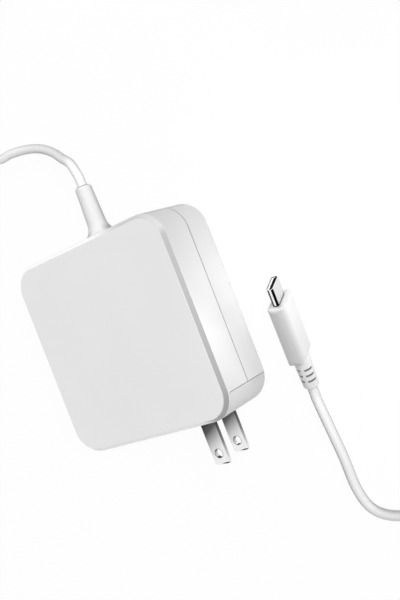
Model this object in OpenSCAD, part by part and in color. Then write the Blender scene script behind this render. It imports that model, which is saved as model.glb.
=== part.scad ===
// Wall-plug power adapter with a folding mains plug and a fixed USB-C lead.
// The adapter lies on its back: X runs across the face, Y towards the lead's
// exit and Z out of the front face. The origin is the middle of the back face.

/* [Body] */
// Width of the body across the face
body_w = 76; // [70:1:90]
// Height of the body along Y, without blades and strain relief
body_h = 76; // [70:1:90]
// Thickness from the back face to the front face
body_t = 28.5; // [28:0.5:34]
// Radius of the four corners seen from the front
corner_r = 10; // [7:0.5:12]
// Radius of the edge round the back face
back_edge_r = 3; // [1.5:0.5:4]
// Width of the front bevel measured on the face
bevel_face = 1.4; // [0.8:0.1:2]
// Depth of the front bevel measured on the side
bevel_side = 1.9; // [1:0.1:2.2]
// Wall thickness of both housing halves
wall = 2.2; // [1.8:0.1:2.6]
// Height of the parting line above the back face
parting_z = 13.6; // [12:0.2:15]
// Width of the shadow groove along the parting line
groove_w = 0.3; // [0.2:0.05:0.5]
// Depth of the shadow groove along the parting line
groove_d = 0.25; // [0.15:0.05:0.4]
// Height of the locating lip inside the parting line
lip_h = 1.5; // [1:0.1:2.5]
// Thickness of the locating lip
lip_t = 1; // [0.8:0.1:1.2]
// Clearance round the locating lip
lip_gap = 0.1; // [0.05:0.05:0.2]

/* [Plug module] */
// Width of the corner module along X
module_w = 40; // [40:0.5:44]
// Height of the corner module along Y
module_h = 8.5; // [8.5:0.1:9.5]
// Thickness of the front cover where it passes in front of the module
module_front = 2.8; // [2.6:0.1:3]
// Running gap between the module and its bay
module_gap = 0.2; // [0.1:0.05:0.3]
// Thickness of the walls round the bay
bay_wall = 1.8; // [1.4:0.1:2]
// Thickness of the plate that closes the module inside the bay
base_t = 1; // [0.8:0.1:1]
// Width of the rim round the closing plate
base_rim = 1.8; // [1.5:0.1:2.2]

/* [Blades] */
// Width of a mains blade
blade_w = 6.35; // [6.2:0.05:6.5]
// Thickness of a mains blade
blade_t = 1.5; // [1.4:0.05:1.6]
// Distance between the middles of the two blades
blade_pitch = 12.7; // [12.5:0.1:12.9]
// Length of a blade outside the body
blade_out = 16.5; // [15.9:0.1:18]
// Diameter of the hole near a blade's tip
blade_hole_d = 3.2; // [3:0.1:3.6]
// Distance from a blade's tip to its hole
blade_hole_in = 4.2; // [3.8:0.1:5]
// Radius of the corners at a blade's tip
blade_tip_r = 1; // [0.5:0.1:1.5]
// Length of the bevel at a blade's tip
blade_bevel = 1; // [0.5:0.1:1.5]
// Distance from the right side of the body to the blades' middle line
blade_inset = 17.7; // [17:0.1:18.5]
// Depth of the pivot behind the body's lower side
pivot_depth = 3.35; // [3.35:0.05:3.45]
// Radius of the barrel that carries the blades
barrel_r = 3.3; // [3.25:0.05:3.4]
// Length of the barrel beyond the outer face of each blade
barrel_end = 1.4; // [1:0.1:2]
// Diameter of the steel pivot pin
pivot_d = 2; // [1.6:0.1:2.2]
// Length of the pivot pin in each side wall of the module
pivot_seat = 1.6; // [1:0.1:2.2]
// Running clearance on the radius of the pivot pin
pivot_gap = 0.05; // [0.03:0.01:0.08]
// Clearance round the barrel and the folded blades
fold_gap = 0.3; // [0.25:0.05:0.35]

/* [Inlet] */
// Diameter of the two contact pins in the bay
pin_d = 2.4; // [2:0.1:2.6]
// Distance between the contact pins
pin_pitch = 8.6; // [8:0.1:9.6]
// Length of the contact pins inside the bay
pin_len = 6; // [5:0.1:6.2]
// Distance from the right side of the body to the contact pins
pin_inset = 7; // [6.6:0.1:7.4]
// Clearance between a contact pin and its socket
pin_gap = 0.05; // [0.03:0.01:0.08]
// Wall thickness of a contact socket
socket_t = 0.5; // [0.3:0.05:0.6]
// Diameter of the locking stud
stud_d = 4.8; // [4:0.1:5.2]
// Length of the locking stud inside the bay
stud_len = 5; // [4:0.1:5.5]
// Distance from the module's inner end to the locking stud
stud_inset = 10; // [9:0.5:11]
// Wire thickness of the clip round the locking stud
clip_d = 0.8; // [0.6:0.1:1]
// Thickness of the block that holds the contact pins
inlet_block_t = 3; // [2:0.5:4]

/* [Circuit] */
// Thickness of the main circuit board
board_t = 1.6; // [1.2:0.1:2]
// Height of the posts under the main circuit board
post_h = 2.5; // [2:0.1:3]
// Diameter of the posts under the main circuit board
post_d = 4; // [3:0.5:5]
// Clearance between the main circuit board and the walls
board_gap = 0.6; // [0.4:0.1:1]
// Thickness of the insulating sheet
sheet_t = 0.4; // [0.2:0.1:0.6]
// Width of the transformer's core
core_w = 26; // [24:0.5:27]
// Clearance between the transformer's core and the front cover
core_clear = 2; // [1:0.5:3]
// Depth of the transformer's core
core_d = 8; // [7:0.5:9]
// Width of the core's middle leg
core_leg = 8; // [7:0.5:9]
// Thickness of the core's outer legs and yokes
core_yoke = 3.2; // [3:0.1:3.6]
// Wall thickness of the winding former
former_t = 0.8; // [0.6:0.1:1]
// Thickness of the copper winding
winding_t = 3; // [2:0.1:3.4]
// Diameter of the large input capacitor
input_cap_d = 16; // [14:0.5:17]
// Length of the large input capacitor
input_cap_l = 25; // [20:0.5:27]
// Diameter of an output capacitor
output_cap_d = 8; // [6:0.5:8]
// Height of an output capacitor
output_cap_h = 14; // [10:0.5:16]
// Thickness of the heat sink plates
sink_t = 1.5; // [1:0.1:2]
// Clearance between the heat sink plates and the front cover
sink_clear = 3; // [2:0.5:4]

/* [Strain relief] */
// Length of the strain relief outside the body
relief_len = 20; // [18:0.5:26]
// Diameter of the strain relief at its tip
relief_tip_d = 6.4; // [6.3:0.1:6.8]
// Diameter of the strain relief where its flare ends
relief_root_d = 7.3; // [6.9:0.05:7.6]
// Length of the flare where it meets the body
relief_flare_l = 5.8; // [5:0.1:6]
// Radius of the flare's curve
relief_flare_r = 6.6; // [6.1:0.1:7]
// Radius of the rounded tip
relief_tip_r = 1.3; // [0.6:0.1:1.3]
// Diameter of the flange behind the wall
relief_flange_d = 12; // [11:0.5:14]
// Thickness of the flange behind the wall
relief_flange_t = 2; // [1.5:0.5:3]

/* [Lead] */
// Diameter of the lead
cord_d = 3.7; // [3.5:0.1:3.9]
// Radius of the coil's outermost turn
coil_out_r = 25.9; // [25:0.1:26]
// Turns of the coil in whole turns, with a quarter turn more
coil_turns = 9; // [7:1:10]
// Layers of the coil
coil_layers = 4; // [2:2:4]
// Distance between neighbouring turns in a layer
coil_pitch = 4.3; // [4.3:0.1:4.6]
// Distance between the layers
coil_rise = 4.25; // [4.25:0.05:4.5]
// Width of the strap round the coil
tie_w = 8; // [6:0.5:10]
// Thickness of the strap round the coil
tie_t = 0.8; // [0.6:0.1:1]

/* [USB-C plug] */
// Width of the plug's overmould
grip_w = 12.2; // [11:0.1:12.3]
// Thickness of the plug's overmould
grip_t = 6.4; // [6:0.1:6.5]
// Length of the plug's overmould
grip_l = 24.5; // [18:0.5:27]
// Radius along the overmould's four long edges
grip_edge_r = 2.8; // [1.5:0.1:2.9]
// Radius at the overmould's rear end
grip_rear_r = 2.8; // [1:0.1:2.9]
// Radius at the overmould's front end
grip_front_r = 1.4; // [0.4:0.1:1.5]
// Length of the slotted boot behind the overmould
boot_l = 12.5; // [10.5:0.5:14]
// Diameter of the slotted boot at the overmould
boot_root_d = 6.2; // [5.6:0.1:6.3]
// Diameter of the slotted boot at the lead
boot_tip_d = 5.6; // [5:0.1:5.8]
// Width of a slot in the boot
slot_w = 0.9; // [0.5:0.1:1]
// Depth of a slot in the boot
slot_depth = 0.9; // [0.5:0.1:0.9]
// Distance between the rows of slots
slot_pitch = 2.5; // [2:0.1:2.8]
// Rows of slots along the boot
slot_rows = 3; // [2:1:3]
// Width of the metal sleeve
sleeve_w = 8.25; // [8.15:0.05:8.35]
// Thickness of the metal sleeve
sleeve_t = 2.4; // [2.35:0.05:2.45]
// Length of the metal sleeve outside the overmould
sleeve_l = 6.65; // [6.5:0.05:6.9]
// Wall thickness of the metal sleeve
sleeve_wall = 0.3; // [0.25:0.05:0.35]
// Height of the slot that takes the receptacle's tongue
tongue_slot_t = 0.85; // [0.75:0.05:0.95]
// Width of the slot that takes the receptacle's tongue
tongue_slot_w = 6.8; // [6.7:0.05:6.9]
// Depth of the slot that takes the receptacle's tongue
tongue_slot_l = 5; // [4.5:0.1:5.2]
// Contacts in each row
contact_count = 12; // [8:1:12]
// Distance between the contacts
contact_pitch = 0.5; // [0.45:0.01:0.5]

/* [Hidden] */

$fn = 64;
overlap = 0.01; // how far a cutting solid reaches past what it cuts

white = [0.9, 0.9, 0.9];
cord_white = [0.93, 0.93, 0.93];
nickel = [0.75, 0.75, 0.77];
copper = [0.8, 0.5, 0.3];
gold = [0.85, 0.7, 0.35];
board_green = [0.15, 0.4, 0.25];
dark = [0.15, 0.15, 0.17];

// The housing
half_w = body_w / 2;
half_h = body_h / 2;
mid_z = body_t / 2;
inner_z = body_t - wall;

// The bay of the plug module, open to the right, below and behind
bay_x = half_w - module_w;
bay_y = module_h - half_h;
bay_z = body_t - module_front;
past = 20; // a cutting block reaches this far outside the body

// The folding blades
pivot_x = half_w - blade_inset;
pivot_y = pivot_depth - half_h;
blade_z = [mid_z + blade_pitch / 2, mid_z - blade_pitch / 2];
barrel_l = blade_pitch + blade_t + 2 * barrel_end;
blade_tip_y = -half_h - blade_out;
root_neck_y = sqrt(barrel_r * barrel_r - blade_w * blade_w / 4) - 0.3;
root_top = barrel_r - 0.9;
root_w = 2 * sqrt(barrel_r * barrel_r - root_top * root_top) - 0.3;
folded_tip_x = pivot_x - (pivot_y - blade_tip_y);

// The contacts between the bay and the module
pin_x = half_w - pin_inset;
stud_x = bay_x + stud_inset;
module_top = bay_y - module_gap;
base_y = module_top - base_t;
spring_t = 0.3;
spring_y = base_y - spring_t;
socket_d = pin_d + 2 * pin_gap + 2 * socket_t;
socket_l = pin_len + 0.5;
spring_w = 2.4;
spring_x = pivot_x + 5;
pin_zs = [mid_z - pin_pitch / 2, mid_z + pin_pitch / 2];
inlet_y = bay_y + bay_wall;
inlet_block_w = 7;
inlet_block_rim = 2.5;
pin_back_y = [inlet_y + inlet_block_t + 0.6, inlet_y + inlet_block_t + 1.8];
lead_w = 2;
lead_t = 0.6;
stud_flange_t = 1.5;
stud_flange_d = stud_d + 2 * stud_flange_t;

// The circuit board and what stands on it
board_z = wall + post_h;
top_z = board_z + board_t;
board_x = half_w - wall - board_gap;
board_low_y = bay_y + bay_wall + board_gap;
board_high_y = half_h - wall - board_gap;
post_inset = 5;
post_x = board_x - post_inset;
post_y = board_high_y - post_inset;
board_posts = [[-post_x, post_y], [post_x, post_y], [-post_x, -post_y], [18, board_low_y + post_inset]];
peg_d = 2;
part_gap = 2.7; // between the board's sides and the parts that stand along them
side_x = board_x - part_gap;
core_h = inner_z - top_z - core_clear;
core_at = [2, 8];
window_w = (core_w - core_leg) / 2 - core_yoke;
sink_h = inner_z - top_z - sink_clear;
sink_foot = 3;
primary_sink_l = 22;
primary_sink_at = [primary_sink_l / 2 - side_x, 12.5];
secondary_sink_l = 16;
secondary_sink_at = [side_x - secondary_sink_l / 2, 16];
input_cap_at = [input_cap_l / 2 - side_x, -15];
choke_d = 15;
choke_h = 8;
choke_wrap = 1.2;
choke_at = [side_x - choke_d / 2 - choke_wrap, -12];
rectifier_w = 14;
rectifier_t = 3.6;
rectifier_h = 11;
rectifier_at = [6, -18];
fuse_d = 8;
fuse_h = 7;
fuse_at = [8, -9];
filter_cap_w = 17;
filter_cap_t = 5.6;
filter_cap_h = 11;
filter_cap_at = [filter_cap_w / 2 - side_x, -1];
safety_cap_d = 8;
safety_cap_t = 3;
safety_cap_at = [side_x - safety_cap_d, 5];
package_w = 10;
package_t = 4.4;
package_h = 9;
package_leg_h = 3.5;
tab_t = 1.3;
tab_h = 3;
leg_pitch = 2.54;
leg_w = 0.8;
leg_t = 0.6;
output_caps_at = [[side_x - 2.4 * output_cap_d, 27], [side_x - 1.15 * output_cap_d, 27]];
optocoupler_w = 4.6;
optocoupler_l = 6.4;
optocoupler_at = [optocoupler_w / 2 - side_x, 23];
control_w = 20;
control_h = 13;
control_board_at = [-4 - control_w / 2, 29.5];

// The strain relief
relief_z = mid_z;
relief_neck_d = 8.6;
relief_rim_r = relief_root_d / 2 + relief_flare_r
    - sqrt(relief_flare_r * relief_flare_r - relief_flare_l * relief_flare_l);
relief_inner_y = half_h - wall - relief_flange_t;
wire_d = 1.6;
wire_pitch = 3;
wire_run = 3;

// Where the coil lies, and where its outermost turn begins and ends
coil_centre = [105.1, 116.9];
coil_right_x = coil_centre[0] + coil_out_r;
coil_back_y = coil_centre[1] + coil_out_r;
coil_base_z = tie_t + 0.2 + cord_d / 2;
coil_top_z = coil_base_z + coil_rise * (coil_layers - 1);
// The route of the lead from the strain relief to the coil
lead_route = [[0, 58, 14.25], [0, 60.2, 14.25], [-0.8, 64.4, 14.1], [-3, 68.2, 12.9],
    [-7.6, 71.7, 10.7], [-13.5, 76.1, 7.5], [-21.5, 80.8, 4.4], [-31, 84.4, 2.3], [-41, 86.5, 1.85],
    [-48, 86.9, 1.85], [-55.5, 89.9, 1.85], [-59, 96.8, 1.85], [-57, 104, 1.85], [-44, 122, 1.85],
    [-31, 135, 1.85], [-17, 142.8, 1.85], [0, 143.2, 1.85], [33, 142.9, 1.85], [65, coil_back_y, 3.4],
    [91, coil_back_y, coil_top_z - 2], [97.5, coil_back_y, coil_top_z - 0.4],
    [coil_centre[0] - cord_d, coil_back_y, coil_top_z]];
// The route from the coil to the plug
tail_route = [[coil_right_x, coil_centre[1] - cord_d, coil_base_z],
    [coil_right_x, coil_centre[1] - 2 * cord_d, coil_base_z], [coil_right_x, 92, 1.9],
    [128.5, 46, 1.85], [118.5, 13.5, 1.85], [108, -20.5, 1.85], [91, -72, 1.85], [83.5, -84, 1.85],
    [75.5, -89.1, 1.85], [66.5, -89.5, 1.85], [59.4, -86, 1.85], [56.4, -78.6, 1.85], [55.9, -66, 1.85],
    [54.9, -53, 1.85], [54.26, -44.43, 1.87], [54.43, -41.95, 2.12], [54.92, -39.62, 2.89],
    [55.3, -38.3, 3.5]];
cord_sides = 8;
coil_sides = 6;
coil_steps = 24; // rings in each turn
tie_gap = 0.2;
tie_angle = 225;

// Slots of the boot and the inside of the plug
boot_edge_r = 0.5;
slot_first = 3.1;
slot_angle = 66;
insert_back = 0.3;
contact_t = 0.15;
contact_w = 0.25;

// The plug stands on the end of its boot, its tip held up by the spring of the lead
plug_at = [55.3, -38.3, 3.5];
plug_pitch = 24;
plug_heading = 16;
plug_roll = 9;

// Vectors along a route, and the rings of a tube that follows it
function unit(v) = v / norm(v);
function between(a, b, c, d, t) = 0.5 * (2 * b + (c - a) * t
    + (2 * a - 5 * b + 4 * c - d) * t * t + (3 * b - a - 3 * c + d) * t * t * t);
function on_floor(v) = [v[0], v[1], max(v[2], cord_d / 2)];
function smooth_path(p) = let (n = len(p) - 1)
    concat([p[0]], [for (i = [1:n - 2]) for (t = [0, 0.5])
        on_floor(between(p[i - 1], p[i], p[i + 1], p[i + 2], t))], [p[n - 1], p[n]]);
function heading(p, i) = unit(p[min(i + 1, len(p) - 1)] - p[max(i - 1, 0)]);
function ring(p, i, r, sides) = let (t = heading(p, i), s = unit(cross(t, [0, 0, 1])), u = cross(s, t))
    [for (k = [0:sides - 1]) p[i] + r * (cos(360 * k / sides) * s + sin(360 * k / sides) * u)];

// One closed tube through all the points of a path
module tube(p, r, sides) {
    points = [for (i = [0:len(p) - 1]) each ring(p, i, r, sides)];
    last = (len(p) - 1) * sides;
    walls = [for (i = [0:len(p) - 2]) for (k = [0:sides - 1])
        let (a = i * sides + k, b = i * sides + (k + 1) % sides)
        each [[a, b + sides, a + sides], [a, b, b + sides]]];
    ends = [for (k = [1:sides - 2]) each [[0, k + 1, k], [last, last + k, last + k + 1]]];
    polyhedron(points = points, faces = concat(walls, ends));
}

// The coil: its radius runs in and out at a steady rate, and it changes
// layer in the half turn where the spiral reverses
layer_turns = (coil_turns + 0.25) / coil_layers;
function layer_of(t) = min(floor(t / layer_turns), coil_layers - 1);
function coil_radius(t) = let (k = layer_of(t), f = t - k * layer_turns)
    coil_out_r - coil_pitch * (k % 2 == 0 ? f : layer_turns - f);
function step_up(s) = s <= -0.25 ? 0 : s >= 0.25 ? 1 : (1 - cos(360 * (s + 0.25))) / 2;
function climb(t, k = 1) = k >= coil_layers ? 0 : step_up(t - k * layer_turns) + climb(t, k + 1);
function coil_point(t) = [coil_centre[0] + coil_radius(t) * cos(360 * t),
    coil_centre[1] + coil_radius(t) * sin(360 * t), coil_base_z + coil_rise * climb(t)];
coil_ring_count = (coil_turns + 0.25) * coil_steps;
coil_turn_points = [for (i = [0:coil_ring_count]) coil_point(i / coil_steps)];
coil_path = concat([coil_turn_points[0] - [0, cord_d, 0]], coil_turn_points,
    [coil_turn_points[len(coil_turn_points) - 1] - [cord_d, 0, 0]]);
function route_length(p, i = 1) = i >= len(p) ? 0 : norm(p[i] - p[i - 1]) + route_length(p, i + 1);
least_gap = min([for (i = [0:len(coil_turn_points) - 1])
    for (j = [i + coil_steps / 2:1:len(coil_turn_points) - 1])
    norm(coil_turn_points[i] - coil_turn_points[j]) - cord_d]);
echo(least_gap_in_coil = least_gap);
echo(lead_length = route_length(smooth_path(lead_route)) + route_length(coil_path)
    + route_length(smooth_path(tail_route)));

// A block in real corners
module block(low, high) {
    translate(low) cube(high - low);
}

// Flat square with round corners
module round_square(w, h, r) {
    square([w - 2 * r, h], center = true);
    square([w, h - 2 * r], center = true);
    for (x = [-1, 1], y = [-1, 1]) {
        translate([x * (w / 2 - r), y * (h / 2 - r)]) circle(r);
    }
}

// Section through the edge of the body, from its middle out to half its width
module edge_section(half) {
    translate([0, back_edge_r]) polygon([[0, 0], [half, 0],
        [half, body_t - bevel_side - back_edge_r],
        [half - bevel_face, body_t - back_edge_r], [0, body_t - back_edge_r]]);
    square([half - back_edge_r, back_edge_r]);
    translate([half - back_edge_r, back_edge_r]) intersection() {
        circle(back_edge_r);
        translate([0, -back_edge_r]) square(back_edge_r);
    }
}

// Both edges of the section
module full_section(half) {
    edge_section(half);
    mirror([1, 0]) edge_section(half);
}

// Outer form of the whole body: two crossed bars and four turned corners
module body_form() {
    bar_w = body_w - 2 * corner_r;
    bar_h = body_h - 2 * corner_r;
    translate([-bar_w / 2, 0, 0]) rotate([90, 0, 90]) linear_extrude(bar_w) full_section(half_h);
    translate([0, bar_h / 2, 0]) rotate([90, 0, 0]) linear_extrude(bar_h) full_section(half_w);
    for (x = [-1, 1], y = [-1, 1]) {
        translate([x * bar_w / 2, y * bar_h / 2, 0]) rotate_extrude() edge_section(corner_r);
    }
}

// Outline of the space inside the housing, drawn in from the walls
module cavity_outline(inset) {
    difference() {
        round_square(body_w - 2 * (wall + inset), body_h - 2 * (wall + inset),
            corner_r - wall - inset);
        translate([bay_x - bay_wall - inset, -half_h - past])
            square([module_w + past, module_h + past + bay_wall + inset]);
    }
}

module bay_block() {
    block([bay_x, -half_h - past, -past], [half_w + past, bay_y, bay_z]);
}

// Round rod along Y
module y_rod(x, z, d, low, high) {
    translate([x, low, z]) rotate([-90, 0, 0]) cylinder(d = d, h = high - low);
}

// Holes through the bay's upper wall for the contact pins and the stud
module inlet_holes() {
    for (z = pin_zs) y_rod(pin_x, z, pin_d, bay_y - overlap, inlet_y + overlap);
    y_rod(stud_x, mid_z, stud_d, bay_y - overlap, inlet_y + overlap);
}

// Hole through the upper wall for the neck of the strain relief
module relief_hole() {
    y_rod(0, relief_z, relief_neck_d, half_h - wall - overlap, half_h + past);
}

// Front half with the plain face and its bevel
module front_cover() {
    color(white) difference() {
        intersection() {
            body_form();
            block([-past - half_w, -past - half_h, parting_z], [past + half_w, past + half_h, body_t + past]);
        }
        translate([0, 0, parting_z - past]) linear_extrude(inner_z - parting_z + past) cavity_outline(0);
        bay_block();
        inlet_holes();
        relief_hole();
    }
}

// Lip that locates the front half, joined to the wall below the parting line
module locating_lip() {
    difference() {
        union() {
            translate([0, 0, parting_z - lip_h]) linear_extrude(2 * lip_h) difference() {
                cavity_outline(lip_gap);
                cavity_outline(lip_gap + lip_t);
            }
            translate([0, 0, parting_z - lip_h]) linear_extrude(lip_h - lip_gap) difference() {
                cavity_outline(-overlap);
                cavity_outline(lip_gap + lip_t / 2);
            }
        }
        // room for the strain relief's flange, the contact block and the stud's flange
        y_rod(0, relief_z, relief_flange_d + 2 * lip_gap, relief_inner_y - lip_gap, half_h - wall);
        for (x = [[pin_x - inlet_block_w / 2 - lip_gap, half_w - wall - lip_gap - lip_t],
            [stud_x - stud_flange_d / 2 - lip_gap, stud_x + stud_flange_d / 2 + lip_gap]]) {
            block([x[0], inlet_y, parting_z - 2 * lip_h], [x[1], inlet_y + lip_t + 2 * lip_gap, body_t]);
        }
    }
}

// Rear half with the shadow groove, the locating lip and the board posts
module rear_housing() {
    color(white) difference() {
        union() {
            difference() {
                union() {
                    intersection() {
                        body_form();
                        block([-past - half_w, -past - half_h, -past],
                            [past + half_w, past + half_h, parting_z - groove_w]);
                    }
                    translate([0, 0, parting_z - 2 * groove_w]) linear_extrude(2 * groove_w)
                        round_square(body_w - 2 * groove_d, body_h - 2 * groove_d, corner_r - groove_d);
                }
                translate([0, 0, wall]) linear_extrude(body_t) cavity_outline(0);
            }
            locating_lip();
            for (p = board_posts) {
                translate([p[0], p[1], wall - overlap]) cylinder(d = post_d, h = post_h + overlap);
                translate([p[0], p[1], wall]) cylinder(d = peg_d, h = post_h + board_t + peg_d / 4);
            }
        }
        bay_block();
        inlet_holes();
        relief_hole();
    }
}

// Plastic block behind the bay that holds the contact pins
module inlet_block() {
    color(dark) difference() {
        block([pin_x - inlet_block_w / 2, inlet_y, pin_zs[0] - inlet_block_rim],
            [pin_x + inlet_block_w / 2, inlet_y + inlet_block_t, pin_zs[1] + inlet_block_rim]);
        for (z = pin_zs) y_rod(pin_x, z, pin_d, inlet_y - past, inlet_y + past);
    }
}

// Two round contact pins with domed ends
module inlet_pins() {
    color(nickel) for (i = [0, 1]) {
        y_rod(pin_x, pin_zs[i], pin_d, bay_y - pin_len + pin_d / 2, pin_back_y[i]);
        translate([pin_x, bay_y - pin_len + pin_d / 2, pin_zs[i]]) sphere(d = pin_d);
    }
}

// Stud that the module's clip grips, with a flange behind the wall
module locking_stud() {
    color(nickel) {
        y_rod(stud_x, mid_z, stud_d, bay_y - stud_len, bay_y + bay_wall + stud_flange_t);
        y_rod(stud_x, mid_z, stud_flange_d, bay_y + bay_wall, bay_y + bay_wall + stud_flange_t);
    }
}

// Copper strips from the contact pins down to the board
module inlet_leads() {
    color(copper) for (i = [0, 1]) {
        block([pin_x - lead_w / 2, pin_back_y[i], top_z],
            [pin_x + lead_w / 2, pin_back_y[i] + lead_t, pin_zs[i] + pin_d / 2]);
    }
}

module main_board() {
    color(board_green) difference() {
        translate([0, 0, board_z]) linear_extrude(board_t) difference() {
            round_square(2 * board_x, 2 * board_high_y, corner_r - wall - board_gap);
            translate([bay_x - bay_wall - board_gap, -half_h]) square([body_w, board_low_y + half_h]);
        }
        for (p = board_posts) {
            translate([p[0], p[1], board_z - overlap])
                cylinder(d = peg_d + 2 * lip_gap, h = board_t + 2 * overlap);
        }
    }
}

// Thin sheet between the board's solder side and the rear wall
module insulating_sheet() {
    color(dark) difference() {
        translate([0, 0, wall]) linear_extrude(sheet_t) cavity_outline(board_gap);
        for (p = board_posts) {
            translate([p[0], p[1], 0]) cylinder(d = post_d + 2 * lip_gap, h = board_z);
        }
    }
}

// Ferrite core: a frame with a middle leg that passes through the winding
module transformer_core() {
    color(dark) translate([core_at[0], core_at[1], top_z]) difference() {
        block([-core_w / 2, -core_d / 2, 0], [core_w / 2, core_d / 2, core_h]);
        for (x = [-1, 1]) {
            translate([x * (core_leg / 2 + window_w / 2), 0, core_h / 2])
                cube([window_w, core_d + past, core_h - 2 * core_yoke], center = true);
        }
    }
}

// Former round the middle leg with a flange at each end and a foot on the board
module winding_former() {
    flange = former_t + winding_t;
    color(dark) translate([core_at[0], core_at[1], top_z]) difference() {
        union() {
            block([-core_leg / 2 - former_t, -core_d / 2 - former_t, core_yoke],
                [core_leg / 2 + former_t, core_d / 2 + former_t, core_h - core_yoke]);
            for (z = [core_yoke, core_h - core_yoke - former_t]) {
                block([-core_leg / 2 - flange, -core_d / 2 - flange, z],
                    [core_leg / 2 + flange, core_d / 2 + flange, z + former_t]);
            }
            for (y = [-core_d / 2 - flange, core_d / 2 + lip_gap]) {
                block([-core_leg / 2 - flange, y, 0],
                    [core_leg / 2 + flange, y + flange - lip_gap, core_yoke + former_t]);
            }
        }
        block([-core_leg / 2, -core_d / 2, -past], [core_leg / 2, core_d / 2, core_h + past]);
    }
}

// Copper winding with rounded corners between the former's flanges
module transformer_winding() {
    w = core_leg + 2 * former_t;
    d = core_d + 2 * former_t;
    color(copper) translate([core_at[0], core_at[1], top_z + core_yoke + former_t])
        linear_extrude(core_h - 2 * core_yoke - 2 * former_t) difference() {
            round_square(w + 2 * winding_t - 2 * lip_gap, d + 2 * winding_t - 2 * lip_gap, winding_t);
            square([w, d], center = true);
        }
}

// Electrolytic can lying on the board, with a rolled groove and a rubber end
module input_capacitor() {
    r = input_cap_d / 2;
    color(dark) translate([input_cap_at[0] - input_cap_l / 2, input_cap_at[1], top_z + r])
        rotate([0, 90, 0]) rotate_extrude() difference() {
            square([r, input_cap_l]);
            translate([r + 0.3, 3]) circle(0.8);
            square([r - 1.2, 0.6]);
            translate([0, input_cap_l - 0.3]) square([r - 1, 1]);
        }
}

// Ring core of the mains filter choke
module choke_core() {
    color(board_green) translate([choke_at[0], choke_at[1], top_z + choke_wrap]) rotate_extrude()
        translate([choke_d / 4, 0]) square([choke_d / 4, choke_h]);
}

// Two separate windings round the ring core
module choke_winding() {
    color(copper) for (a = [35, 215]) {
        translate([choke_at[0], choke_at[1], top_z]) rotate(a) rotate_extrude(angle = 110) difference() {
            translate([choke_d / 4 - choke_wrap, 0])
                square([choke_d / 4 + 2 * choke_wrap, choke_h + 2 * choke_wrap]);
            translate([choke_d / 4, choke_wrap]) square([choke_d / 4, choke_h]);
        }
    }
}

// Flat rectifier package standing on four legs
module bridge_rectifier() {
    leg_x = rectifier_w / 2 - 1.6;
    color(dark) translate([rectifier_at[0], rectifier_at[1], top_z]) {
        difference() {
            block([-rectifier_w / 2, -rectifier_t / 2, 2], [rectifier_w / 2, rectifier_t / 2, 2 + rectifier_h]);
            translate([rectifier_w / 2, 0, 2 + rectifier_h]) rotate([0, 45, 0])
                cube([3, past, 3], center = true);
        }
        for (i = [-1.5:1.5]) {
            translate([i * leg_x / 1.5, 0, 1]) cube([leg_w, leg_w, 2], center = true);
        }
    }
}

module mains_fuse() {
    color(dark) translate([fuse_at[0], fuse_at[1], top_z]) {
        translate([0, 0, 1]) cylinder(d = fuse_d, h = fuse_h);
        for (x = [-leg_pitch, leg_pitch]) translate([x, 0, 0]) cylinder(d = leg_t, h = 1);
    }
}

// Film capacitor across the mains
module filter_capacitor() {
    color([0.8, 0.7, 0.2]) translate([filter_cap_at[0], filter_cap_at[1], top_z]) {
        block([-filter_cap_w / 2, -filter_cap_t / 2, 1],
            [filter_cap_w / 2, filter_cap_t / 2, 1 + filter_cap_h]);
        for (x = [1 - filter_cap_w / 2, filter_cap_w / 2 - 1]) {
            translate([x, 0, 0]) cylinder(d = leg_w, h = 1);
        }
    }
}

// Ceramic disc between the two sides of the circuit
module safety_capacitor() {
    color([0.2, 0.4, 0.7]) translate([safety_cap_at[0], safety_cap_at[1], top_z]) {
        y_rod(0, safety_cap_d / 2 + 1.5, safety_cap_d, -safety_cap_t / 2, safety_cap_t / 2);
        for (x = [-leg_pitch, leg_pitch]) translate([x, 0, 0]) cylinder(d = leg_t, h = 3);
    }
}

// Heat sink plate with a folded foot
module sink(at, length) {
    translate([at[0], at[1], top_z]) {
        block([-length / 2, 0, 0], [length / 2, sink_t, sink_h]);
        block([-length / 2, sink_t, 0], [length / 2, sink_t + sink_foot, sink_t]);
    }
}

// Power package with a tab and three legs, clamped against a heat sink
module power_package(at) {
    body_top = package_leg_h + package_h;
    translate([at[0], at[1], top_z]) {
        block([-package_w / 2, -package_t, package_leg_h], [package_w / 2, 0, body_top]);
        difference() {
            block([-package_w / 2, -tab_t, body_top], [package_w / 2, 0, body_top + tab_h]);
            y_rod(0, body_top + tab_h / 2, tab_h / 2, -past, past);
        }
        for (x = [-leg_pitch, 0, leg_pitch]) {
            block([x - leg_w / 2, -2 * tab_t, 0], [x + leg_w / 2, leg_t - 2 * tab_t, package_leg_h]);
        }
    }
}

module primary_heat_sink() {
    color(nickel) sink(primary_sink_at, primary_sink_l);
}

module power_switch() {
    color(dark) power_package(primary_sink_at);
}

module secondary_heat_sink() {
    color(nickel) sink(secondary_sink_at, secondary_sink_l);
}

module output_rectifier() {
    color(dark) power_package(secondary_sink_at);
}

// Two upright cans with grooved rims
module output_capacitors() {
    r = output_cap_d / 2;
    color(nickel) for (at = output_caps_at) {
        translate([at[0], at[1], top_z]) rotate_extrude() difference() {
            square([r, output_cap_h]);
            translate([r + 0.2, 2]) circle(0.6);
            translate([0, output_cap_h - 0.3]) square([r - 0.8, 1]);
        }
    }
}

module optocoupler() {
    color(dark) translate([optocoupler_at[0], optocoupler_at[1], top_z]) {
        block([-optocoupler_w / 2, -optocoupler_l / 2, 0.5], [optocoupler_w / 2, optocoupler_l / 2, 4]);
        for (x = [-1, 1], y = [-1, 1]) {
            translate([x * (optocoupler_w + leg_t) / 2, y * leg_pitch / 2, 1])
                cube([leg_t, leg_t, 2], center = true);
        }
    }
}

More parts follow.
